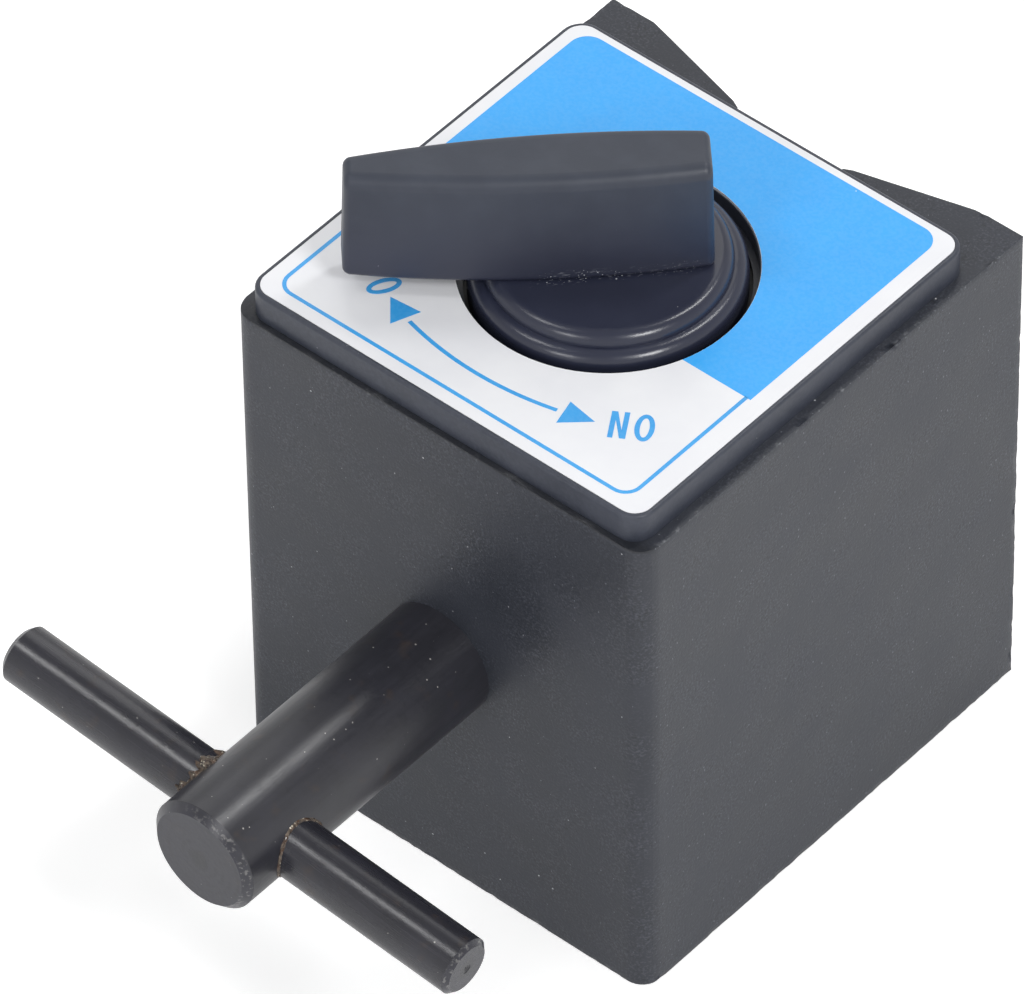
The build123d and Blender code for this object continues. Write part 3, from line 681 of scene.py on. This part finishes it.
def spinSection(bm, section, steps, closed=True):        # section: distance out from Z and height along it
    verts = [bm.verts.new((out * mm, 0, along * mm)) for out, along in section]
    edges = [bm.edges.new((verts[i - 1], verts[i])) for i in range(0 if closed else 1, len(verts))]
    bmesh.ops.spin(bm, geom=verts + edges, cent=(0, 0, 0), axis=(0, 0, 1), steps=steps, angle=2 * pi,
                   use_merge=True)
    made = [vert for vert in bm.verts if not vert.tag]
    for vert in made:
        vert.tag = True
    return made


def collars():
    bm = bmesh.new()
    low, high, radius = pinJoint["collarFrom"], pinJoint["collarTo"], pinJoint["collarRadius"]
    inner = radius - pinJoint["collarWall"]
    section = ((inner, low), (radius, low), (radius, low + pinJoint["support"]),
               (radius, high - pinJoint["support"]), (radius, high), (inner, high))
    for side, _ in pinJoint["ends"]:
        made = spinSection(bm, section, pinJoint["collarSteps"])
        bmesh.ops.transform(bm, matrix=pinPlace(side), verts=made)
    bmesh.ops.recalc_face_normals(bm, faces=bm.faces)
    return bm


def endMarks():
    bm = bmesh.new()
    radius = pinJoint["markRadius"]
    for side, end in pinJoint["ends"]:
        section = ((0, end - pinJoint["markBottom"]), (radius, end - pinJoint["markBottom"]),
                   (radius, end - pinJoint["markRim"]), (0, end - pinJoint["markDepth"]))
        made = spinSection(bm, section, pinJoint["markSteps"], closed=False)
        bmesh.ops.transform(bm, matrix=pinPlace(side), verts=made)
    bmesh.ops.remove_doubles(bm, verts=bm.verts, dist=1e-6)
    bmesh.ops.recalc_face_normals(bm, faces=bm.faces)
    return bm


def beads():
    bm = bmesh.new()
    pin, post = pinJoint["pinRadius"], pinJoint["postRadius"]
    for side, bead in beadSizes.items():
        section = [(pin + high, along) for high, along in pinJoint["beadSection"]]
        ring = spinSection(bm, section, pinJoint["beadSteps"])
        leanZ, leanY, everywhere = bead["lean"]
        for vert in ring:
            flat = Vector((vert.co.x, vert.co.y, 0))
            high, along = flat.length / mm - pin, vert.co.z / mm
            out = flat.normalized()
            world = pinPlace(side).to_3x3() @ out
            gathered = max(0.0, world.z * leanZ + world.y * leanY + everywhere)
            spot = out * pin + Vector((0, 0, pinJoint["shift"] * side))
            rough = sum(noise.noise(spot * scale) * weight for scale, weight in pinJoint["ragged"])
            spread = bead["spread"] * max(0.0, rough + pinJoint["raggedMean"]) * gathered
            width = bead["width"] + spread
            height = bead["height"] + pinJoint["raggedHeight"] * spread
            lumpSpot = spot * pinJoint["lumps"] + Vector((0, 0, along * pinJoint["lumpsAlong"]))
            fine = 1 + bead["lump"] * pinJoint["lumpShare"] * noise.noise(lumpSpot)
            radius = pin + high * height * fine
            foot = (post ** 2 - (radius * out.y) ** 2) ** 0.5        # where the post's surface is
            vert.co = (out * radius + Vector((0, 0, foot + along * width * fine - pinJoint["beadSink"]))) * mm
        bmesh.ops.transform(bm, matrix=pinPlace(side), verts=ring)
    bmesh.ops.remove_doubles(bm, verts=bm.verts, dist=1e-8)
    bmesh.ops.recalc_face_normals(bm, faces=bm.faces)
    return bm


newPiece("pin_collars", collars(), pinOxide, "base")
newPiece("pin_end_marks", endMarks(), pinOxide, "base", smooth=False)
pinBeads = newPiece("pin_bead_rings", beads(), adhesive, "base")
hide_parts("pin_beads")
print("pin joint dressed")

# Print on the label: blue field, outline, turn arrow, ON and OFF
label = {
    "face": 61.7, "ink": 0.02, "sink": 0.01,                 # height of the sheet, and the ink above and in it
    "fieldLeft": -22.0, "fieldRight": 21.4, "fieldTop": 22.53, "fieldLow": -5.07, "fieldRound": 2.0,
    "hole": 14.22, "holeSteps": 180,
    "lineLeft": -21.8, "lineRight": 21.1, "lineLow": -21.97, "lineRound": 1.9, "lineWidth": 0.4,
    "lineLap": 0.05,                                         # how far the outline runs into the field
    "arrowRadius": 35.4, "arrowCentre": (-0.2, 16.83), "arrowWidth": 0.42, "arrowHalfTurn": 14.6,
    "arrowSteps": 48,
    "arrowHeads": (((-12.59, -16.15), (-9.12, -15.85), (-10.29, -18.79)),
                   ((12.33, -16.34), (8.96, -15.81), (9.7, -18.7))),
}
words = {
    "height": 3.4, "stroke": 0.49,
    "letterO": (1.86, 3.46), "roundSteps": 48,
    "letterN": 1.68, "diagonal": 2.185, "notch": 0.08,       # the diagonal's height, in strokes
    "letterF": 1.6, "shortArm": 0.2,
    "places": (("O", (16.33, -14.03), 212.0), ("N", (14.25, -15.25), 212.0), ("O", (-13.98, -15.44), 152.0),
               ("F", (-16.55, -13.95), 152.0), ("F", (-18.85, -12.75), 152.0)),
}


def printed(bm):        # gives a flat print its thickness and its height on the label
    bmesh.ops.triangulate(bm, faces=bm.faces)
    bmesh.ops.recalc_face_normals(bm, faces=bm.faces)
    flat = list(bm.faces)
    if flat[0].normal.z < 0:
        bmesh.ops.reverse_faces(bm, faces=flat)
    for vert in bm.verts:
        vert.co.z = (label["face"] - label["sink"]) * mm
    top = newVerts(bmesh.ops.extrude_face_region(bm, geom=flat)["geom"])
    bmesh.ops.translate(bm, verts=top, vec=(0, 0, (label["ink"] + label["sink"]) * mm))
    bmesh.ops.recalc_face_normals(bm, faces=bm.faces)
    return bm


def fieldPrint():
    bm = bmesh.new()
    face = roundedPlate(bm, label["fieldLeft"], label["fieldRight"], -label["fieldTop"], label["fieldTop"],
                        (0, 0, label["fieldRound"], label["fieldRound"]))
    hole = bmesh.ops.create_circle(bm, cap_ends=False, segments=label["holeSteps"],
                                   radius=label["hole"] * mm)["verts"]
    outer = list(face.edges)
    bmesh.ops.delete(bm, geom=[face], context="FACES_ONLY")
    bmesh.ops.triangle_fill(bm, use_beauty=True, use_dissolve=False, edges=outer + loopEdges(hole))
    cutAlong(bm, (0, label["fieldLow"] * mm, 0), (0, 1, 0), 1e-8, clear_inner=True)
    return printed(bm)


def outlinePrint():
    bm = bmesh.new()
    face = roundedPlate(bm, label["lineLeft"], label["lineRight"], label["lineLow"], -label["lineLow"],
                        (label["lineRound"], label["lineRound"], 0, 0))
    bmesh.ops.inset_region(bm, faces=[face], thickness=label["lineWidth"] * mm, use_even_offset=True,
                           use_boundary=True)
    bmesh.ops.delete(bm, geom=[face], context="FACES")
    cutAlong(bm, (0, (label["fieldLow"] + label["lineLap"]) * mm, 0), (0, 1, 0), 1e-8, clear_outer=True)
    return printed(bm)


def arrowPrint():
    bm = bmesh.new()
    centre = Vector((*label["arrowCentre"], 0)) * mm
    low, half = -label["arrowRadius"] * mm, label["arrowWidth"] / 2 * mm
    halfTurn = radians(label["arrowHalfTurn"])
    start = [bm.verts.new(centre + Vector((0, low + side * half, 0))) for side in (-1, 1)]
    edge = bm.edges.new(start)
    bmesh.ops.rotate(bm, verts=start, cent=centre, matrix=Matrix.Rotation(-halfTurn, 3, "Z"))
    bmesh.ops.spin(bm, geom=start + [edge], cent=centre, axis=(0, 0, 1), steps=label["arrowSteps"],
                   angle=2 * halfTurn)
    for head in label["arrowHeads"]:
        bm.faces.new([bm.verts.new((x * mm, y * mm, 0)) for x, y in head])
    return printed(bm)


def drawLetter(bm, letter):        # upright about the origin
    half, stroke = words["height"] / 2, words["stroke"]
    if letter == "O":
        wide, tall = words["letterO"]
        rings = []
        for trim in (0, stroke):
            ring = bmesh.ops.create_circle(bm, cap_ends=False, segments=words["roundSteps"], radius=1)["verts"]
            bmesh.ops.scale(bm, verts=ring, vec=((wide / 2 - trim) * mm, (tall / 2 - trim) * mm, 1))
            rings += ring
        bmesh.ops.bridge_loops(bm, edges=loopEdges(rings))
        return rings
    side = words["letter" + letter] / 2
    left, right = -side + stroke, side - stroke        # inner sides of the uprights
    lean, notch, arm = half - stroke * words["diagonal"], words["notch"], side - words["shortArm"]
    shapes = {
        "N": ((-side, -half), (left, -half), (left, lean), (right - notch, -half), (side, -half),
              (side, half), (right, half), (right, -lean), (left + notch, half), (-side, half)),
        "F": ((-side, -half), (left, -half), (left, -stroke / 2), (arm, -stroke / 2), (arm, stroke / 2),
              (left, stroke / 2), (left, half - stroke), (side, half - stroke), (side, half), (-side, half)),
    }
    verts = [bm.verts.new((x * mm, y * mm, 0)) for x, y in shapes[letter]]
    bm.faces.new(verts)
    return verts


def wordsPrint():
    bm = bmesh.new()
    for letter, (x, y), turn in words["places"]:
        verts = drawLetter(bm, letter)
        bmesh.ops.rotate(bm, verts=verts, cent=(0, 0, 0), matrix=Matrix.Rotation(radians(turn), 3, "Z"))
        bmesh.ops.translate(bm, verts=verts, vec=(x * mm, y * mm, 0))
    return printed(bm)


newPiece("print_field", fieldPrint(), fieldInk, "base", smooth=False)
newPiece("print_outline", outlinePrint(), lineInk, "base", smooth=False)
newPiece("print_arrow", arrowPrint(), lineInk, "base", smooth=False)
newPiece("print_words", wordsPrint(), lineInk, "base", smooth=False)
print("label printed")
